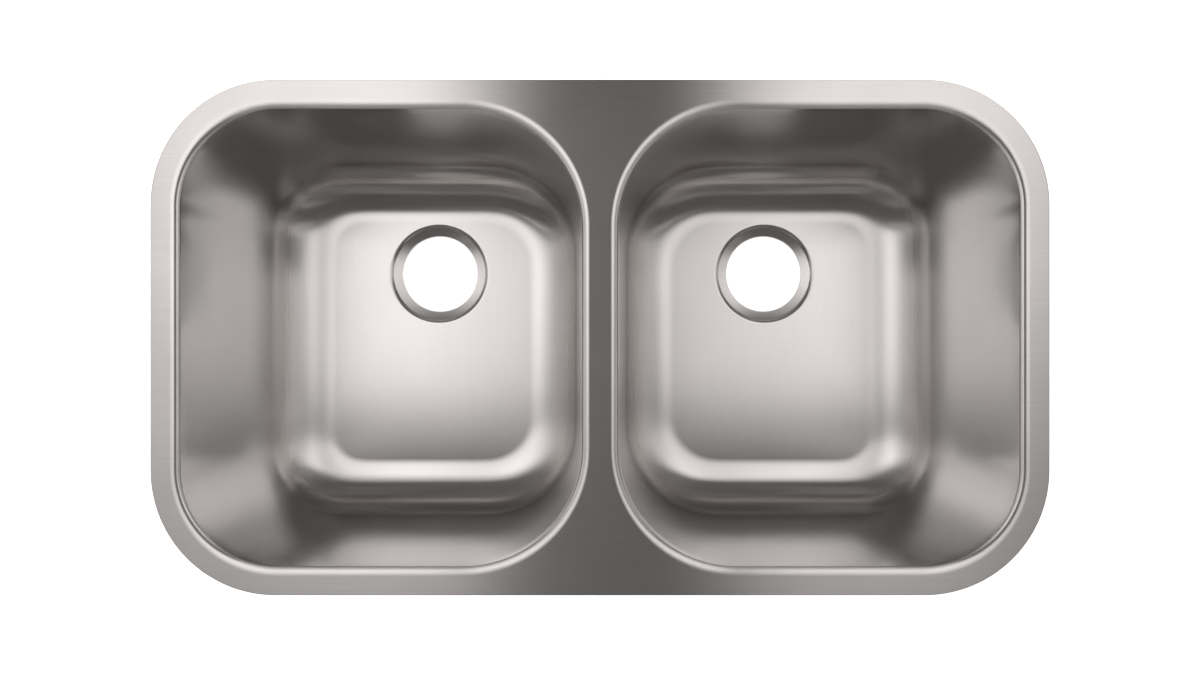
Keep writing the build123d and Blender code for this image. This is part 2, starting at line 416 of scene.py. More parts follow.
class PressedSkin:
    """Geometry Nodes tree that sweeps a bowl's section round the bowl's rounded opening."""

    PATH_POINTS = 336
    CORNER_POINTS = 96  # in each corner of the opening, before the path is spaced evenly
    BEND_POINTS = {"Rim points": 14, "Foot points": 30}
    WALL_STEP = mm(15.0)  # between two rings of a wall
    CORNER_REACH = 6  # points on each side that the start of a corner is evened out over
    CORNERS = ("Mouth", "Rim", "Foot", "Floor")  # of the section, from the flange to the floor
    INPUTS = {
        "Float": ("Opening width", "Opening depth", "Divider corner", "Outer corner", "Rim bend", "Foot bend",
                  "Rim flatness", "Wall lean", "Wall step", "Bowl depth", "Floor fall"),
        "Vector": (*CORNERS, "Place"),
        "Int": ("Path points", *BEND_POINTS),
    }

    def __init__(self, sizes: SinkSizes) -> None:
        """Build the tree for a sink of these sizes."""
        self.sizes = sizes
        self.tree = self.build_tree()

    def build_tree(self) -> NodeTree:
        """Lay out the nodes: path, section, sweep, fall of the floor, finish.

        Returns:
            The tree.
        """
        tree = new_tree("pressed_skin", self.INPUTS)
        given = add(tree, "NodeGroupInput").outputs
        here = position(tree)
        along = add(tree, "GeometryNodeSplineParameter").outputs

        opening = add(tree, "GeometryNodeCurvePrimitiveQuadrilateral",
                      {"Width": given["Opening width"], "Height": given["Opening depth"]})
        beside_divider = below_limit(tree, here["X"], 0.0)
        corner = either(tree, beside_divider, given["Outer corner"], given["Divider corner"])
        path = upright(tree, filleted(tree, opening, corner, self.CORNER_POINTS), given["Path points"])

        points = add(tree, "GeometryNodeMeshLine", {"Count": len(self.CORNERS)})
        line = add(tree, "GeometryNodeMeshToCurve", {"Mesh": points})
        corners = self.by_corner(tree, "VECTOR", [given[name] for name in self.CORNERS])
        placed = add(tree, "GeometryNodeSetPosition", {"Geometry": line, "Position": corners})
        bends = self.by_corner(tree, "FLOAT", [0.0, given["Rim bend"], 0.0, 0.0])
        rim = filleted(tree, placed, bends, given["Rim points"])
        level = add(tree, "ShaderNodeSeparateXYZ", {0: given["Mouth"]}).outputs["Y"]
        over = maths(tree, "SUBTRACT", here["Y"], level)
        lift = maths(tree, "MULTIPLY", over, maths(tree, "SUBTRACT", given["Rim flatness"], 1.0))
        back = maths(tree, "MULTIPLY", maths(tree, "MULTIPLY", lift, given["Wall lean"]), -1.0)
        flatter = shifted(tree, rim, below_limit(tree, over, given["Rim bend"]), X=back, Y=lift)
        count = add(tree, "GeometryNodeSplineLength").outputs["Point Count"]
        last_but_one = maths(tree, "SUBTRACT", count, 2.0)
        at_foot = add(tree, "FunctionNodeCompare", {2: along["Index"], 3: last_but_one},
                      data_type="INT", operation="EQUAL")
        foot = filleted(tree, flatter, either(tree, at_foot, 0.0, given["Foot bend"]), given["Foot points"])
        following = add(tree, "GeometryNodeFieldAtIndex", {
            "Index": maths(tree, "ADD", along["Index"], 1.0), "Value": along["Length"]}, data_type="FLOAT")
        steps = maths(tree, "DIVIDE", maths(tree, "SUBTRACT", following, along["Length"]), given["Wall step"])
        cuts = maths(tree, "MAXIMUM", steps, 0.0)
        section = add(tree, "GeometryNodeSubdivideCurve", {"Curve": foot, "Cuts": cuts})

        swept = add(tree, "GeometryNodeCurveToMesh", {"Curve": path, "Profile Curve": section})
        depth = maths(tree, "DIVIDE", here["Z"], given["Bowl depth"])
        share = add(tree, "ShaderNodeClamp", {"Value": depth, "Min": -1.0, "Max": 0.0})
        fall = maths(tree, "MULTIPLY", maths(tree, "MULTIPLY", here["Y"], given["Floor fall"]), share)
        fallen = shifted(tree, swept, Z=fall)
        moved = add(tree, "GeometryNodeTransform", {"Geometry": fallen, "Translation": given["Place"]})
        end_tree(tree, moved, given["Finish"])
        return tree

    def by_corner(self, tree: NodeTree, kind: str, values: list[Any]) -> Node:
        """Pick a value by the number of a section's corner.

        Args:
            tree: the tree.
            kind: data type of the values.
            values: a value or an output socket for each corner.

        Returns:
            The node that picks.
        """
        node = add(tree, "GeometryNodeIndexSwitch", data_type=kind)
        while len(node.index_switch_items) < len(values):
            node.index_switch_items.new()
        named = {str(number): value for number, value in enumerate(values)}
        fill(tree, node, {"Index": add(tree, "GeometryNodeInputIndex"), **named})
        return node

    def sweep(self, below: float, finish: Material, top_drop: float | None = None) -> list[Ring]:
        """Sweep one skin of the right-hand bowl.

        Args:
            below: distance of the skin below the sheet's upper face.
            finish: material of the swept faces.
            top_drop: how far under the flange's top the skin starts, or None to start on the flange.

        Returns:
            Rings from the top down to the edge of the floor, each once round the bowl.
        """
        s = self.sizes
        drops = (below, below) if top_drop is None else (top_drop, top_drop + s.support)
        mouth, rim, foot = ((-s.wall_inset(drop, below), drop) for drop in (*drops, s.bowl_depth + below))
        if top_drop is None:
            mouth = (s.support, below)
        floor = (-s.floor_inset(below) - s.support, s.bowl_depth + below)
        mesh = bake_tree(self.tree, {
            **{name: (*corner, 0.0) for name, corner in zip(self.CORNERS, (mouth, rim, foot, floor))},
            "Opening width": s.opening_width, "Opening depth": 2 * s.opening_half,
            "Divider corner": s.divider_corner, "Outer corner": s.outer_corner,
            "Rim bend": s.rim_bend - below if top_drop is None else 0.0, "Foot bend": s.foot_bend + below,
            "Rim flatness": s.rim_flatness, "Wall lean": math.tan(s.draft), "Wall step": self.WALL_STEP,
            "Path points": self.PATH_POINTS, **self.BEND_POINTS, "Bowl depth": s.bowl_depth, "Floor fall": s.fall,
            "Place": (s.middle, 0.0, s.flange_z), "Finish": finish})
        points = [self.ease_corner(vertex.co.copy()) for vertex in mesh.vertices]
        bpy.data.meshes.remove(mesh)
        each = len(points) // self.PATH_POINTS
        return [self.even_out(points[level::each]) for level in range(each)]

    def even_out(self, ring: Ring) -> Ring:
        """Let the straight sides run gently into the corners, more so the deeper a ring lies.

        Args:
            ring: ring once round the bowl.

        Returns:
            The ring, with each point drawn towards the mean of its neighbours.
        """
        s, reach = self.sizes, self.CORNER_REACH
        moved = []
        for at, place in enumerate(ring):
            near = [ring[(at + step) % len(ring)] for step in range(-reach, reach + 1)]
            share = min(1.0, (s.flange_z - place.z) / s.bowl_depth)
            moved.append(place.lerp(sum(near, Vector()) / len(near), share))
        return moved

    def ease_corner(self, place: Vector) -> Vector:
        """Round a corner of the bowl more widely the further it stands in from the opening.

        Args:
            place: point of a swept skin.

        Returns:
            The point, drawn towards the bowl's middle near a corner and slid along a straight side.
        """
        s = self.sizes
        across = place.x - s.middle
        corner = s.outer_corner if across > 0 else s.divider_corner
        centre_x, centre_y = s.opening_width / 2 - corner, s.opening_half - corner
        out = Vector((max(0.0, abs(across) - centre_x), max(0.0, abs(place.y) - centre_y)))
        radius = out.length
        ease = s.corner_ease * max(0.0, corner - radius)
        side_x = max(-1.0, min(1.0, across / centre_x))
        side_y = max(-1.0, min(1.0, place.y / centre_y))
        shift_x, shift_y = -ease * side_x * (1 - out.x / radius), -ease * side_y * (1 - out.y / radius)
        return place + Vector((shift_x, shift_y, 0.0))


def strip(before: list[Any], row: list[Any]) -> Iterator[tuple[Any, ...]]:
    """Corners of the faces between two rings of vertices."""
    return zip(before, before[1:] + before[:1], row[1:] + row[:1], row)


@dataclass
class RingStack:
    """Closed sheet laid up from rings with the same number of points, one strip of faces between each two."""

    rings: list[Ring] = field(default_factory=list)
    strips: list[tuple[int, Grain]] = field(default_factory=list)

    def lay(self, rings: list[Ring], slot: int, grain: Grain) -> None:
        """Add rings, and say which material slot and grain the strips that lead to them take."""
        self.rings.extend(rings)
        self.strips.extend([(slot, grain)] * len(rings))

    def mesh(self, name: str, side: Side) -> Mesh:
        """Close the stack into a mesh with outward normals, smooth faces and a grain map.

        Args:
            name: name of the mesh.
            side: half of the sink that the mesh is for; the left is the mirror image.

        Returns:
            The finished mesh.
        """
        bm = bmesh.new()
        rows = [[bm.verts.new((side.value * p.x, p.y, p.z)) for p in ring] for ring in self.rings]
        grain_map = bm.loops.layers.uv.new("grain")
        for before, row, (slot, grain) in zip(rows[-1:] + rows, rows, self.strips):
            for corners in strip(before, row):
                face = bm.faces.new(corners)
                face.material_index = slot
                for loop in face.loops:
                    loop[grain_map].uv = grain.uv(loop.vert.co)
        bmesh.ops.remove_doubles(bm, verts=bm.verts, dist=SAME_PLACE)
        return closed_mesh(bm, name)


@dataclass(frozen=True)
class Finish:
    """Surface of a piece, with a shader that reads the place on the piece."""

    name: str

    def shade(self, tree: NodeTree, place: NodeSocket) -> dict[str, Any]:
        """Inputs of the shader; each finish has its own."""
        raise NotImplementedError

    def material(self) -> Material:
        """Build the material.

        Returns:
            The material.
        """
        material = bpy.data.materials.new(self.name)
        material.use_nodes = True
        tree = material.node_tree
        tree.nodes.clear()
        place = add(tree, "ShaderNodeTexCoord").outputs["Object"]
        shader = add(tree, "ShaderNodeBsdfPrincipled", self.shade(tree, place))
        add(tree, "ShaderNodeOutputMaterial", {"Surface": shader})
        return material


@dataclass(frozen=True)
class BrushedSteel(Finish):
    """Cold-rolled stainless steel, brushed one way with an abrasive belt.

    The eye sees a soft grey whose highlights are drawn out across the brushing, with fine streaks along it.
    """

    colour: str
    grain: Grain
    anisotropy: float
    roughness: Span
    streak_length: float = mm(70.0)
    streak_width: float = mm(1.4)  # real scratches are about 0.05 mm; drawn coarser so that they show
    streak_depth: float = mm(0.012)
    streak_tone: float = 0.05  # how much paler and duller the streaks are
    relief: float = 0.004
    cloud_size: float = mm(90.0)

    ASPECT_SHARE: ClassVar[float] = 0.9  # how the shader turns anisotropy into the shape of a highlight
    MOTTLE_SPAN: ClassVar[Span] = (0.7, 1.3)  # where most sums of two noise textures lie

    def towards(self, other: "BrushedSteel", share: float, name: str) -> "BrushedSteel":
        """Finish part of the way from this one to another.

        Args:
            other: finish at the far end.
            share: how far on, from 0 to 1.
            name: name of the new finish.

        Returns:
            A finish whose highlights are between the two in length and width.
        """
        ends = (self, 1 - share), (other, share)
        colour = [sum(part * int(end.colour[at:at + 2], 16) for end, part in ends) for at in (1, 3, 5)]
        narrow = math.prod((1 - self.ASPECT_SHARE * end.anisotropy) ** part for end, part in ends)
        rough = tuple(math.prod(end.roughness[at] ** part for end, part in ends) for at in range(2))
        return replace(self, name=name, colour="#" + "".join(f"{round(c):02x}" for c in colour),
                       anisotropy=(1 - narrow) / self.ASPECT_SHARE, roughness=rough)

    def shade(self, tree: NodeTree, place: NodeSocket) -> dict[str, Any]:
        """Streaks along the brushing and faint clouds.

        Args:
            tree: the material's node tree.
            place: place on the piece.

        Returns:
            Inputs of the shader.
        """
        lengthways, sideways = 1 / self.streak_length, 1 / self.streak_width
        across = self.grain is Grain.ACROSS
        scale = (lengthways, sideways, sideways) if across else (sideways, lengthways, lengthways)
        stretched = add(tree, "ShaderNodeMapping", {"Vector": place, "Scale": scale})
        streaks = clouds(tree, stretched, size=1.0, detail=4.0)
        mottle = maths(tree, "ADD", clouds(tree, place, self.cloud_size, detail=2.0), streaks)
        tone = ranged(tree, mottle, self.MOTTLE_SPAN)
        return {
            "Base Color": tinted(tree, tone, *mottled(self.colour, self.streak_tone)),
            "Roughness": ranged(tree, streaks, NOISE_SPAN, self.roughness),
            "Normal": bumped(tree, streaks, self.relief, self.streak_depth),
            "Tangent": add(tree, "ShaderNodeTangent", direction_type="UV_MAP", uv_map="grain"),
            "Metallic": 1.0, "Anisotropic": self.anisotropy}


@dataclass(frozen=True)
class SprayedUndercoat(Finish):
    """Water-based sound-deadening compound, sprayed on and dried.

    The eye sees a dull grey skin with a fine pebble and slightly uneven tone.
    """

    name: str = "sprayed_undercoat"
    colour: str = "#7f7f7d"
    tone: float = 0.14  # how much paler and darker the clouds are
    cloud_size: float = mm(70.0)
    roughness: Span = (0.66, 0.84)
    pebble: float = mm(2.4)
    relief: float = 0.8
    relief_depth: float = mm(0.25)

    def shade(self, tree: NodeTree, place: NodeSocket) -> dict[str, Any]:
        """Pebble and clouds."""
        pebble, patches = (clouds(tree, place, size, detail=3.0) for size in (self.pebble, self.cloud_size))
        return {
            "Base Color": tinted(tree, patches, *mottled(self.colour, self.tone)),
            "Roughness": ranged(tree, pebble, NOISE_SPAN, self.roughness),
            "Normal": bumped(tree, pebble, self.relief, self.relief_depth)}


@dataclass(frozen=True)
class CalenderedRubber(Finish):
    """Filled butyl rubber sheet, rolled and die-cut.

    The eye sees a near-black matte face with a fine cloth imprint and a little pale dust.
    """

    name: str = "calendered_rubber"
    colour: str = "#1d1d1e"
    dust: str = "#3a3938"
    dust_span: Span = (0.45, 0.75)  # of the clouds, from clean to dusty
    dust_cover: float = 0.6
    cloud_size: float = mm(35.0)
    roughness: Span = (0.58, 0.78)
    imprint: float = mm(1.6)
    relief: float = 0.5
    relief_depth: float = mm(0.12)

    def shade(self, tree: NodeTree, place: NodeSocket) -> dict[str, Any]:
        """Imprint of the cloth, and dust in clouds.

        Args:
            tree: the material's node tree.
            place: place on the piece.

        Returns:
            Inputs of the shader.
        """
        imprint = add(tree, "ShaderNodeTexVoronoi", {"Vector": place, "Scale": 1 / self.imprint})
        patches = clouds(tree, place, self.cloud_size, detail=5.0)
        dusty = ranged(tree, patches, self.dust_span, (0.0, self.dust_cover))
        return {
            "Base Color": tinted(tree, dusty, linear(self.colour), linear(self.dust)),
            "Roughness": ranged(tree, patches, NOISE_SPAN, self.roughness),
            "Normal": bumped(tree, imprint, self.relief, self.relief_depth)}


@dataclass(frozen=True)
class WhitePaper(Finish):
    """Matte paper backdrop, lit up for the camera so that it stays white.

    The eye sees an even white with no shine.
    """

    name: str = "matte_white_paper"
    colour: str = "#f4f3f1"
    glow: str = "#ffffff"
    roughness: float = 0.9
    shine: float = 0.1

    def shade(self, tree: NodeTree, place: NodeSocket) -> dict[str, Any]:
        """The same all over, so the place is not used."""
        seen = add(tree, "ShaderNodeLightPath").outputs["Is Camera Ray"]
        return {"Base Color": linear(self.colour), "Roughness": self.roughness, "Specular IOR Level": self.shine,
                "Emission Color": linear(self.glow), "Emission Strength": seen}


@dataclass
class DrawnBowl:
    """One pressed bowl with its half of the flange."""

    side: Side
    sizes: SinkSizes
    skin: PressedSkin
    flange: Material
    underside: Material
    inside: list[Material]  # from the wall's finish to the floor's
    edge: float = mm(0.3)  # broken edge of the cut sheet
    edge_round: float = 0.3  # how far in the middle of the broken edge lies, as a share of it
    seat_rim: float = mm(2.3)  # flat floor kept round the drain seat
    finish_start: int = 2  # rings of the rounded foot that still have the wall's finish
    finish_step: int = 2  # rings of the foot for each finish between the wall's and the floor's

    FLANGE, UNDERSIDE, INSIDE = range(3)

    def flange_ring(self, support: Ring, bend: Ring, margin: float, z: float) -> Ring:
        """Ring on the flange's outline, or in from it, straight out from each point of the opening.

        Args:
            support: the skin's first ring, on the flange.
            bend: the ring next to it, where the roll starts.
            margin: distance in from the outline; the welded edge has none.
            z: height of the ring.

        Returns:
            A ring with a point exactly in each corner at the weld.
        """
        s = self.sizes
        half = s.overall_depth / 2 - margin
        weld = s.weld_width / 2
        ring, misses = [], []
        for on_flange, at_bend in zip(support, bend):
            out = (on_flange - at_bend).to_2d().normalized()
            reach = s.rim_flat - s.support - margin
            miss = math.inf
            if on_flange.x < s.opening_left + s.divider_corner and out.x < 0:
                to_weld = (weld - on_flange.x) / out.x
                to_end = (half - abs(on_flange.y)) / max(abs(out.y), TINY)
                reach = min(to_weld, to_end)
                miss = abs(to_weld - to_end - margin / max(abs(out.y), TINY))
            ring.append(Vector((*(on_flange.to_2d() + out * reach), z)))
            misses.append(miss)
        for end in (-1, 1):
            nearest = min((at for at in range(len(ring)) if ring[at].y * end > 0), key=misses.__getitem__)
            ring[nearest] = Vector((weld, end * half, z))
        return ring

    def seat_ring(self, edge: Ring, radius: float, z: float, lean: float) -> Ring:
        """Ring round the drain in line with the floor's edge, with a share of the floor's fall as its lean."""
        s, outs = self.sizes, [(place - self.sizes.drain).to_2d().normalized() * radius for place in edge]
        return [Vector((s.drain.x + out.x, s.drain.y + out.y, z - lean * out.y * s.fall)) for out in outs]

    def seat_section(self, below: float) -> list[tuple[float, float, float]]:
        """Section of the drain seat, rounded at its bends.

        Args:
            below: distance of the skin below the sheet's upper face.

        Returns:
            Radius, height and lean of each ring, from the floor in to the edge of the hole.
        """
        s = self.sizes
        floor, foot = s.drain_floor_z, s.drain_floor_z - s.shoulder_depth
        line = [Vector(point) for point in (
            (s.seat_radius + self.seat_rim, floor), (s.seat_radius, floor), (s.seat_radius - s.shoulder_run, foot),
            (s.hole_radius + s.lip_width, s.sheet), (s.hole_radius + self.edge, s.sheet))]
        bends = (s.shoulder_bend - below, s.cone_bend + below, s.lip_bend + below)
        section = rounded(lowered(line, below), bends)
        return [(r, z, min(1.0, max(0.0, (z + below - foot) / s.shoulder_depth))) for r, z in section]

    def build(self) -> None:
        """Lay the sheet up from its rings, upper face first, and put it in the scene."""
        s, e = self.sizes, self.edge
        upper = self.skin.sweep(0.0, self.inside[0])
        lower = self.skin.sweep(s.sheet, self.underside)
        top, bottom = s.flange_z, s.flange_z - s.sheet
        flange_edge = [self.flange_ring(upper[0], upper[1], margin, z) for margin, z in (
            (e + s.support, bottom), (e, bottom), (0.0, bottom + e), (0.0, top - e),
            (e * self.edge_round, top - e * self.edge_round), (e, top), (e + s.support, top))]
        seat_upper = [*self.seat_section(0.0), (s.hole_radius, s.sheet - e, 0.0)]
        seat_lower = [(s.hole_radius, e, 0.0), *self.seat_section(s.sheet)[::-1]]
        floor_upper = [self.seat_ring(upper[-1], *values) for values in seat_upper]
        floor_lower = [self.seat_ring(lower[-1], *values) for values in seat_lower]
        stack = RingStack()
        stack.lay(flange_edge[:2], self.UNDERSIDE, Grain.ACROSS)
        stack.lay(flange_edge[2:], self.FLANGE, Grain.ACROSS)
        roll = PressedSkin.BEND_POINTS["Rim points"] + 1
        foot = len(upper) - PressedSkin.BEND_POINTS["Foot points"] + self.finish_start
        stack.lay(upper[:roll], self.FLANGE, Grain.ACROSS)
        stack.lay(upper[roll:foot], self.INSIDE, Grain.ALONG)
        floor = self.INSIDE + len(self.inside) - 1
        for slot in range(self.INSIDE + 1, floor):
            stack.lay(upper[foot:foot + self.finish_step], slot, Grain.ALONG)
            foot += self.finish_step
        stack.lay(upper[foot:] + between(upper[-1], floor_upper[0]) + floor_upper, floor, Grain.ALONG)
        stack.lay(floor_lower + between(floor_lower[-1], lower[-1]) + lower[::-1], self.UNDERSIDE, Grain.ALONG)
        name = self.side.named("bowl")
        materials = [self.flange, self.underside, *self.inside]
        finish_piece(name, stack.mesh(name, self.side), materials)


def lowered(line: list[Vector], below: float) -> list[Vector]:
    """Shift an open line of radius and height, from the outside inwards, to its lower side."""
    sides = [Vector((a.y - b.y, b.x - a.x)).normalized() for a, b in zip(line, line[1:])]
    return [point + (a + b) * below / (1 + a.dot(b))
            for point, a, b in zip(line, [sides[0], *sides], [*sides, sides[-1]])]


def rounded(line: list[Vector], bends: tuple[float, ...], steps: int = 6) -> list[Vector]:
    """Round the inner corners of an open line.

    Args:
        line: points of the line.
        bends: radius for each inner corner.
        steps: number of steps in an arc.

    Returns:
        The points of the line with an arc in place of each inner corner.
    """
    points = [line[0]]
    for before, corner, after, bend in zip(line, line[1:], line[2:], bends):
        back, on = (before - corner).normalized(), (after - corner).normalized()
        half = back.angle(on) / 2
        centre = corner + (back + on).normalized() * bend / math.sin(half)
        first, last = (corner + way * bend / math.tan(half) - centre for way in (back, on))
        points += [centre + bend * first.slerp(last, step / steps) for step in range(steps + 1)]
    return [*points, line[-1]]


def between(start: Ring, end: Ring, shares: tuple[float, ...] = (0.33, 0.67)) -> list[Ring]:
    """Rings part of the way from one ring to another."""
    return [[a.lerp(b, share) for a, b in zip(start, end)] for share in shares]


@dataclass
class Undercoat:
    """Sprayed skin on the outside of one bowl, thinned out towards its upper edge."""

    side: Side
    sizes: SinkSizes
    skin: PressedSkin
    finish: Material
    below_flange: float = mm(14.0)
    drain_gap: float = mm(9.0)
    drain_touch: float = mm(0.2)  # how near the bare ring round the drain counts as there
    feather: float = mm(5.0)
    feather_cover: float = 0.08  # share of the thickness that is left at the upper edge
    least_cover: float = 0.05  # thinnest share anywhere
    lump_depth: float = 0.18
    lump_level: float = 0.4  # noise above this is full thickness
    lumps_per_metre: float = 60.0
    stray: float = mm(2.2)  # how far the sprayed edge wanders
    stray_reach: float = mm(30.0)  # how far down the wall follows it
    waves_per_metre: Span = (28.0, 95.0)  # wide and small waves of the edge
    small_wave: float = 0.5
    bond: float = mm(0.02)  # keeps the two faces in the joint apart

    @property
    def start_z(self) -> float:
        """Height at which the coat starts."""
        return self.sizes.flange_z - self.below_flange

    @property
    def bare_radius(self) -> float:
        """Radius of the bare ring round the drain."""
        return self.sizes.seat_radius + self.drain_gap

    def thinned(self, bonded: Vector, full: Vector) -> Vector:
        """Place of the coat's open face, thin at the upper edge and lumpy below.

        Args:
            bonded: point on the face that is bonded to the bowl.
            full: the same point at full thickness.

        Returns:
            A point between the two.
        """
        cover = min(1.0, (self.start_z - full.z) / self.feather)
        thin = self.feather_cover + (1 - self.feather_cover) * cover
        lumps = self.lump_depth * (noise.noise(full * self.lumps_per_metre) - self.lump_level)
        return bonded.lerp(full, max(self.least_cover, thin + min(0.0, lumps) * cover))

    def strayed(self, place: Vector) -> Vector:
        """Let a point near the top follow the uneven edge of the spray.

        Args:
            place: point of the coat.

        Returns:
            The point, moved down.
        """
        fade = max(0.0, 1 - (self.start_z - place.z) / self.stray_reach)
        wide, small = self.waves_per_metre
        wave = noise.noise(Vector((place.x * wide, place.y * wide, 0.0)))
        wave += self.small_wave * noise.noise(place * small)
        return place - Vector((0.0, 0.0, fade * self.stray * (1 + wave)))

    def build(self) -> None:
        """Lay up the skin from its open face inwards, and put it in the scene."""
        s = self.sizes
        depths = s.sheet + s.coat, s.sheet + self.bond
        outer, inner = (self.skin.sweep(depth, self.finish, self.below_flange) for depth in depths)
        outer = [[self.thinned(*pair) for pair in zip(*rings)] for rings in zip(inner, outer)]
        skins = [[[self.strayed(place) for place in ring] for ring in rings] for rings in (outer, inner)]
        for rings, depth in zip(skins, depths):
            self.bare_drain(rings)
            rings += self.floor_rings(rings[-1], depth)
        stack = RingStack()
        stack.lay(skins[0] + skins[1][::-1], 0, Grain.ALONG)
        name = self.side.named("undercoat")
        finish_piece(name, stack.mesh(name, self.side), [self.finish])

    def bare_drain(self, rings: list[Ring]) -> None:
        """Stop the lines of a skin where they run into the bare ring round the drain.

        Args:
            rings: rings of the skin, which are changed.
        """
        drain, gap = self.sizes.drain, self.bare_radius
        for before, ring in zip(rings, rings[1:]):
            for at, place in enumerate(ring):
                far, near = ((p - drain).to_2d().length for p in (before[at], place))
                if near < gap:
                    ring[at] = before[at].lerp(place, (far - gap) / (far - near)) if far > gap else before[at]

    def floor_rings(self, edge: Ring, below: float) -> list[Ring]:
        """Rings from the floor's edge in to the bare ring round the drain.

        Args:
            edge: ring on the floor's edge.
            below: distance of the skin below the sheet's upper face.

        Returns:
            The rings, which stay on the edge where that already meets the bare ring.
        """
        s = self.sizes
        inner = []
        for place in edge:
            out = (place - s.drain).to_2d()
            stop = s.drain.to_2d() + out.normalized() * self.bare_radius
            met = out.length < self.bare_radius + self.drain_touch
            inner.append(place.copy() if met else Vector((*stop, s.floor_z(stop.y, below))))
        return [*between(edge, inner), inner]


@dataclass
class SoundPad:
    """Die-cut rubber pad, flat on the face that it is glued to."""

    name: str
    length: float
    width: float
    thickness: float
    place: Matrix
    finish: Material
    corner: float = mm(12.0)
    edge: float = mm(0.5)
    corner_steps: int = 10

    def outline(self, inset: float) -> list[tuple[float, float]]:
        """Rounded outline of the pad.

        Args:
            inset: distance that the outline is drawn in by.

        Returns:
            Its points, once round.
        """
        points = []
        radius = self.corner - inset
        for quarter in range(4):
            x = (self.length / 2 - self.corner) * (1 if quarter in (0, 3) else -1)
            y = (self.width / 2 - self.corner) * (1 if quarter < 2 else -1)
            for step in range(self.corner_steps + 1):
                angle = (quarter + step / self.corner_steps) * math.pi / 2
                points.append((x + radius * math.cos(angle), y + radius * math.sin(angle)))
        return points

    def build(self, side: Side) -> None:
        """Raise the pad from its glued face and put it in the scene.

        Args:
            side: half of the sink that the pad is for.
        """
        e, t = self.edge, self.thickness
        # Inset and height: broken at the glued face, widest just above it, rounded over at the open face.
        levels = [(0.3 * e, 0.0), (0.0, 0.4 * e), (0.2 * e, t - e), (0.5 * e, t - 0.3 * e), (1.4 * e, t)]
        bm = bmesh.new()
        rows = []
        for inset, height in levels:
            places = [self.place @ Vector((x, y, height)) for x, y in self.outline(inset)]
            rows.append([bm.verts.new((side.value * p.x, p.y, p.z)) for p in places])
        sides = [corners for lower, upper in zip(rows, rows[1:]) for corners in strip(lower, upper)]
        for corners in (*sides, rows[0], rows[-1]):
            bm.faces.new(corners)
        name = side.named(self.name)
        finish_piece(name, closed_mesh(bm, name), [self.finish])


@dataclass
class PadSet:
    """The five sound pads of one bowl, placed on its coated walls and under its floor."""

    sizes: SinkSizes
    finish: Material
    side_thickness: float = mm(3.0)
    side_margin: float = mm(28.0)
    bottom_thickness: float = mm(5.0)
    bottom_margin: float = mm(12.0)
    drain_gap: float = mm(13.0)

    def frame_on(self, origin: Vector, x_axis: Vector, outward: Vector) -> Matrix:
        """Frame of a pad, whose Z points away from the bowl."""
        axes = Matrix((x_axis, outward.cross(x_axis), outward))
        return Matrix.Translation(origin) @ axes.transposed().to_4x4()

    def wall_place(self, wall: Wall, shift: float) -> Matrix:
        """Frame on the coated outside of a wall, half way up its flat.

        Args:
            wall: the wall that the pad is glued to.
            shift: distance along X from the bowl's middle, for a pad on the front or rear wall.

        Returns:
            A matrix whose Z points away from the bowl and whose X runs along the wall.
        """
        s = self.sizes
        along_x, along_y = wall.value
        across = s.opening_width / 2 if along_x else s.opening_half
        drop = (s.flat_top + s.flat_foot) / 2
        stand = across - s.wall_inset(drop, 0.0)
        outward = Vector((along_x * math.cos(s.draft), along_y * math.cos(s.draft), -math.sin(s.draft)))
        origin = Vector((s.middle + along_x * stand + shift, along_y * stand, s.flange_z - drop))
        origin += outward * (s.sheet + s.coat)
        return self.frame_on(origin, Vector((-along_y, along_x, 0.0)), outward)

    def pads(self) -> list[SoundPad]:
        """The pads of the right-hand bowl.

        Returns:
            Four pads for the walls and one for the floor.
        """
        s = self.sizes
        height = (s.flat_foot - s.flat_top) / math.cos(s.draft) - 2 * self.side_margin
        outer, inner = (2 * (s.opening_half - corner - self.side_margin)
                        for corner in (s.outer_corner, s.divider_corner))
        left = s.opening_left + s.divider_corner + self.side_margin
        right = s.opening_right - s.outer_corner - self.side_margin
        shift = (left + right) / 2 - s.middle
        spans = {Wall.OUTER: (outer, 0.0), Wall.INNER: (inner, 0.0),
                 Wall.REAR: (right - left, shift), Wall.FRONT: (right - left, shift)}
        walls = [SoundPad(f"{wall.name.lower()}_pad", length, height, self.side_thickness,
                          self.wall_place(wall, aside), self.finish) for wall, (length, aside) in spans.items()]
        return [*walls, self.bottom_pad()]

    def bottom_pad(self) -> SoundPad:
        """The pad under the floor of the right-hand bowl, in front of the drain.

        Returns:
            The pad.
        """
        s = self.sizes
        edge = s.floor_inset(0.0) + self.bottom_margin
        left, right, front = s.opening_left + edge, s.opening_right - edge, edge - s.opening_half
        rear = s.drain.y - s.seat_radius - self.drain_gap
        middle_y = (front + rear) / 2
        origin = Vector(((left + right) / 2, middle_y, s.floor_z(middle_y, s.sheet + s.coat)))
        down = Vector((0.0, -s.fall, -1.0)).normalized()
        place = self.frame_on(origin, Vector((-1.0, 0.0, 0.0)), down)
        return SoundPad("bottom_pad", right - left, rear - front, self.bottom_thickness, place, self.finish)


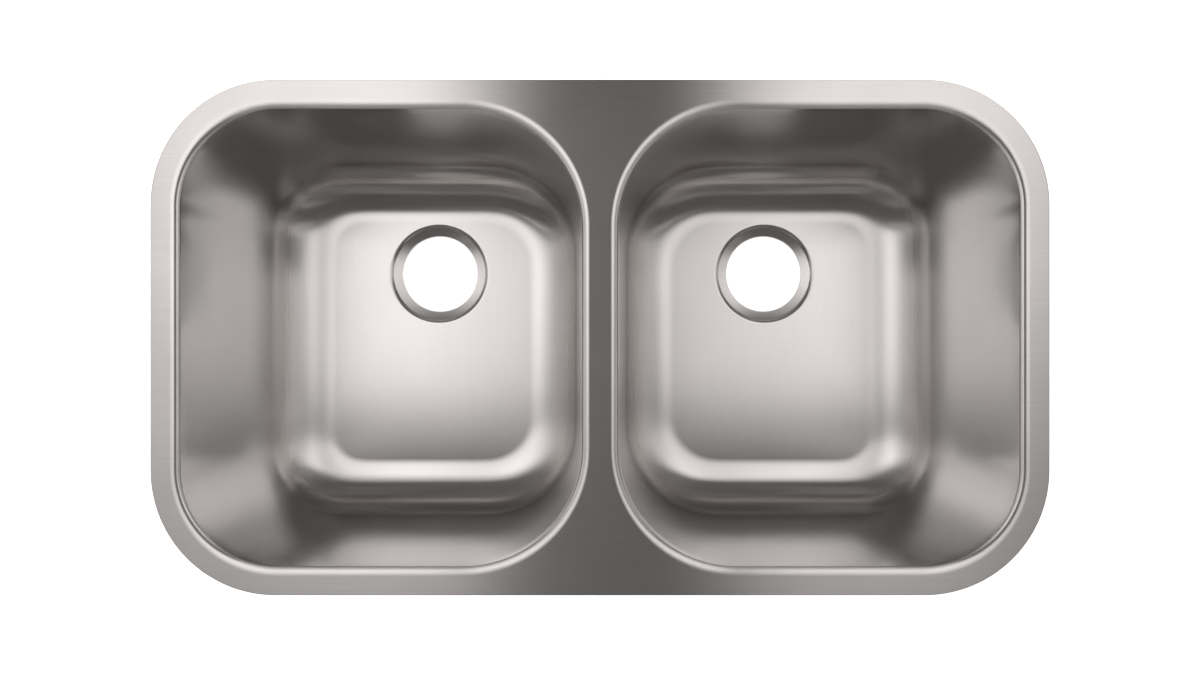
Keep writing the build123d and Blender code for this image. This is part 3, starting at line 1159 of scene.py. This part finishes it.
@dataclass
class WeldBead:
    """Butt weld along the middle of the divider: ground flush on top, rippled below."""

    sizes: SinkSizes
    finish: Material
    ripple: float = mm(1.6)
    ripple_height: float = mm(0.12)
    points_per_ripple: int = 4
    section_points: int = 16
    squareness: float = 1.45  # how far the round section is spread before its sides are cut off
    flush_from: float = -0.5  # height in the round section up to which it is ground flush

    INPUTS: ClassVar[dict[str, tuple[str, ...]]] = {
        "Float": ("Length", "Half width", "Sheet", "Root", "Top", "Ripple", "Ripple height"), "Int": ("Points",)}

    def tree(self) -> NodeTree:
        """Geometry Nodes tree that draws the bead's section along a line and ripples its root.

        Returns:
            The tree.
        """
        tree = new_tree("weld_bead", self.INPUTS)
        given = add(tree, "NodeGroupInput").outputs
        here = position(tree)
        half = maths(tree, "MULTIPLY", given["Length"], 0.5)
        start, end = (add(tree, "ShaderNodeCombineXYZ", {"Y": y, "Z": given["Top"]})
                      for y in (maths(tree, "MULTIPLY", half, -1.0), half))
        line = add(tree, "GeometryNodeCurvePrimitiveLine", {"Start": start, "End": end})
        circle = add(tree, "GeometryNodeCurvePrimitiveCircle",
                     {"Resolution": self.section_points, "Radius": 1.0}, mode="RADIUS")
        spread = maths(tree, "MULTIPLY", here["X"], self.squareness)
        squared = add(tree, "ShaderNodeClamp", {"Value": spread, "Min": -1.0, "Max": 1.0})
        sideways = maths(tree, "MULTIPLY", squared, given["Half width"])
        root = maths(tree, "MULTIPLY", maths(tree, "MAXIMUM", here["Y"], 0.0), given["Root"])
        under = maths(tree, "GREATER_THAN", here["Y"], self.flush_from)
        drop = maths(tree, "ADD", root, maths(tree, "MULTIPLY", under, given["Sheet"]))
        shaped = add(tree, "ShaderNodeCombineXYZ", {"X": sideways, "Y": drop})
        section = add(tree, "GeometryNodeSetPosition", {"Geometry": circle, "Position": shaped})
        swept = add(tree, "GeometryNodeCurveToMesh", {
            "Curve": upright(tree, line, given["Points"]), "Profile Curve": section, "Fill Caps": True})
        turn = maths(tree, "MULTIPLY", maths(tree, "DIVIDE", here["Y"], given["Ripple"]), 2 * math.pi)
        wave = maths(tree, "MULTIPLY", maths(tree, "SINE", turn), given["Ripple height"])
        raised = maths(tree, "ADD", wave, given["Ripple height"])
        on_root = below_limit(tree, here["Z"], maths(tree, "SUBTRACT", given["Top"], given["Sheet"]))
        end_tree(tree, shifted(tree, swept, on_root, Z=raised), given["Finish"])
        return tree

    def build(self) -> None:
        """Run the tree and put the bead in the scene."""
        s = self.sizes
        points = int(s.overall_depth / self.ripple * self.points_per_ripple)
        baked = bake_tree(self.tree(), {
            "Length": s.overall_depth, "Half width": s.weld_width / 2, "Sheet": s.sheet, "Root": s.weld_root,
            "Top": s.flange_z, "Ripple": self.ripple, "Ripple height": self.ripple_height, "Points": points,
            "Finish": self.finish})
        bm = bmesh.new()
        bm.from_mesh(baked)
        bpy.data.meshes.remove(baked)
        bmesh.ops.remove_doubles(bm, verts=bm.verts, dist=SAME_PLACE)
        bmesh.ops.dissolve_degenerate(bm, edges=bm.edges, dist=SAME_PLACE)
        grain_map = bm.loops.layers.uv.new("grain")
        for face in bm.faces:
            for loop in face.loops:
                loop[grain_map].uv = Grain.ACROSS.uv(loop.vert.co)
        finish_piece("centre_weld", closed_mesh(bm, "centre_weld"), [self.finish])


@dataclass(frozen=True)
class Fade:
    """Edge of a soft box that fades out along one direction, from full to a share that is left."""

    towards: tuple[float, float]
    full: float
    gone: float
    left: float = 0.0

    def strength(self, tree: NodeTree, place: NodeSocket) -> Node:
        """Add the nodes that turn a place on the light into its share of the strength."""
        along = add(tree, "ShaderNodeVectorMath", {0: place, 1: Vector((*self.towards, 0.0)).normalized()},
                    operation="DOT_PRODUCT")
        return ranged(tree, along.outputs["Value"], (self.full, self.gone), (1.0, self.left),
                      interpolation_type="SMOOTHSTEP")


@dataclass(frozen=True)
class SoftBox:
    """Rectangular studio light that faces straight down or at a point."""

    name: str
    place: tuple[float, float, float]
    size: tuple[float, float]
    radiance: float
    fades: tuple[Fade, ...] = ()
    aim: tuple[float, float, float] | None = None
    seen_in_steel: bool = True

    def build(self) -> None:
        """Hang the light."""
        data = bpy.data.lights.new(self.name, "AREA")
        data.shape = "RECTANGLE"
        data.size, data.size_y = self.size
        data.energy = self.radiance * math.pi * self.size[0] * self.size[1]
        if self.fades:
            self.grade(data)
        light = new_object(self.name, data)
        light.location = self.place
        if self.aim is not None:
            light.rotation_euler = (Vector(self.aim) - Vector(self.place)).to_track_quat("-Z", "Y").to_euler()
        light.visible_camera = False
        light.visible_glossy = self.seen_in_steel

    def grade(self, data: Light) -> None:
        """Make the light weaker towards its faded edges.

        Args:
            data: the light.
        """
        data.use_nodes = True
        tree = data.node_tree
        tree.nodes.clear()
        place = add(tree, "ShaderNodeNewGeometry").outputs["Position"]
        strength: Any = 1.0
        for fade in self.fades:
            strength = maths(tree, "MULTIPLY", strength, fade.strength(tree, place))
        glow = add(tree, "ShaderNodeEmission", {"Strength": strength})
        add(tree, "ShaderNodeOutputLight", {"Surface": glow})


@dataclass
class Studio:
    """Pale floor, soft boxes, plain surroundings and a camera straight above the sink."""

    sizes: SinkSizes
    floor_half: float = 4.0
    light_height: float = 1.2  # above the flange
    aim: tuple[float, float, float] = (0.0, 0.0, 0.1)  # of the lights beside the sink
    surround_colour: str = "#fffefd"
    horizon: Span = (0.15, 0.45)  # rise of a direction, from where it is pale to where it is dim
    surround_levels: Span = (0.6, 0.11)  # at the horizon and above
    camera_height: float = mm(750.0)  # above the flange
    camera_aside: tuple[float, float] = (mm(6.9), mm(-12.8))  # off the middle, with the frame kept on the sink
    photo_width: int = 1200
    pixels_per_metre: float = 1098.0  # scale of the flange in a picture of that width
    sensor: float = 36.0

    def build_floor(self) -> None:
        """Lay the floor."""
        mesh = bpy.data.meshes.new("floor")
        h = self.floor_half
        mesh.from_pydata([(-h, -h, 0), (h, -h, 0), (h, h, 0), (-h, h, 0)], [], [(0, 1, 2, 3)])
        mesh.materials.append(WhitePaper().material())
        new_object("floor", mesh)

    def build_lights(self) -> None:
        """Hang a soft box on each side, a gap between them, and lights that only brighten the outside."""
        z = self.sizes.flange_z + self.light_height
        front = Fade((0, -1), 0.035, 0.365)
        above = (  # name, place, size, radiance, fades
            ("left_box", (-1.1, 0.4, z), (2.0, 1.7), 2.05,
             (Fade((1, 0), -0.47, -0.1), Fade((-1, -0.6), 0.45, 1.15, 0.32), front, Fade((0, 1), 0.5, 1.2, 0.3))),
            ("left_glow", (-0.2, 0.15, z), (0.22, 0.5), 1.9, (Fade((1, 0), -0.25, -0.09),)),
            ("right_box", (1.12, 0.4, z), (2.0, 1.7), 1.65,
             (Fade((-1, 0), -0.5, -0.14), Fade((1, -0.6), 0.6, 1.0, 0.15), front, Fade((0, 1), 0.75, 1.3, 0.4))),
            ("left_side_box", (-2.5, 0.15, z), (2.6, 1.5), 1.5),
            ("right_side_box", (2.5, 0.15, z), (2.6, 1.5), 1.0),
            ("centre_glow", (0.0, 0.12, z), (0.2, 0.4), 0.25),
        )
        beside = (  # name, place, size, radiance
            ("front_fill", (0.0, -2.6, 1.3), (2.4, 1.6), 0.9), ("rear_fill", (0.0, 2.8, 1.3), (2.4, 1.6), 0.7),
            ("left_fill", (-2.8, 0.0, 1.2), (2.0, 1.4), 0.8), ("right_fill", (2.8, 0.0, 1.2), (2.0, 1.4), 0.7),
        )
        for values in above:
            SoftBox(*values).build()
        for values in beside:
            SoftBox(*values, aim=self.aim, seen_in_steel=False).build()

    def build_surroundings(self) -> None:
        """White backdrop for the camera; dim above and paler near the horizon for the steel."""
        world = bpy.data.worlds.new("studio")
        world.use_nodes = True
        tree = world.node_tree
        tree.nodes.clear()
        up = add(tree, "ShaderNodeSeparateXYZ", {0: add(tree, "ShaderNodeTexCoord").outputs["Generated"]})
        level = ranged(tree, up.outputs["Z"], self.horizon, self.surround_levels)
        colour = linear(self.surround_colour)
        around, backdrop = (add(tree, "ShaderNodeBackground", {"Color": colour, "Strength": strength})
                            for strength in (level, 1.0))
        seen = add(tree, "ShaderNodeLightPath").outputs["Is Camera Ray"]
        mixed = add(tree, "ShaderNodeMixShader", {0: seen, 1: around, 2: backdrop})
        add(tree, "ShaderNodeOutputWorld", {"Surface": mixed})
        bpy.context.scene.world = world

    def build_camera(self) -> None:
        """Hang the camera above the sink, looking straight down with the rear at the top."""
        data = bpy.data.cameras.new("camera")
        data.sensor_width = self.sensor
        widths_per_metre = self.pixels_per_metre / self.photo_width
        data.lens = self.sensor * self.camera_height * widths_per_metre
        data.shift_x, data.shift_y = (-aside * widths_per_metre for aside in self.camera_aside)
        camera = new_object("camera", data)
        camera.location = (*self.camera_aside, self.sizes.flange_z + self.camera_height)
        bpy.context.scene.camera = camera

    def build(self) -> None:
        """Set up the whole studio."""
        self.build_floor()
        self.build_lights()
        self.build_surroundings()
        self.build_camera()
        bpy.context.scene.view_settings.view_transform = "Standard"


FOOT_FINISHES = 4  # on the rounded foot, between the wall's finish and the floor's


def main() -> None:
    """Build the sink's pieces in order, then the studio."""
    sizes = SinkSizes()
    flange = BrushedSteel("brushed_steel_flange", "#d5d0ce", Grain.ACROSS, 0.97, (0.315, 0.325)).material()
    floor = BrushedSteel("satin_steel_floor", "#d8d3d1", Grain.ALONG, 0.94, (0.279, 0.283), streak_tone=0.025)
    wall = BrushedSteel("satin_steel_wall", "#cecdcc", Grain.ALONG, 0.0, (0.2, 0.21), streak_tone=0.025)
    foot = [wall.towards(floor, step / (FOOT_FINISHES + 1), f"satin_steel_foot_{step}")
            for step in range(1, FOOT_FINISHES + 1)]
    inside = [steel.material() for steel in (wall, *foot, floor)]
    underside = BrushedSteel("mill_steel_underside", "#c6c4c2", Grain.ALONG, 0.0, (0.34, 0.42)).material()
    coat = SprayedUndercoat().material()
    rubber = CalenderedRubber().material()
    skin = PressedSkin(sizes)
    for side in Side:
        DrawnBowl(side, sizes, skin, flange, underside, inside).build()
        Undercoat(side, sizes, skin, coat).build()
        for pad in PadSet(sizes, rubber).pads():
            pad.build(side)
    WeldBead(sizes, flange).build()
    Studio(sizes).build()


if __name__ == "__main__":
    main()
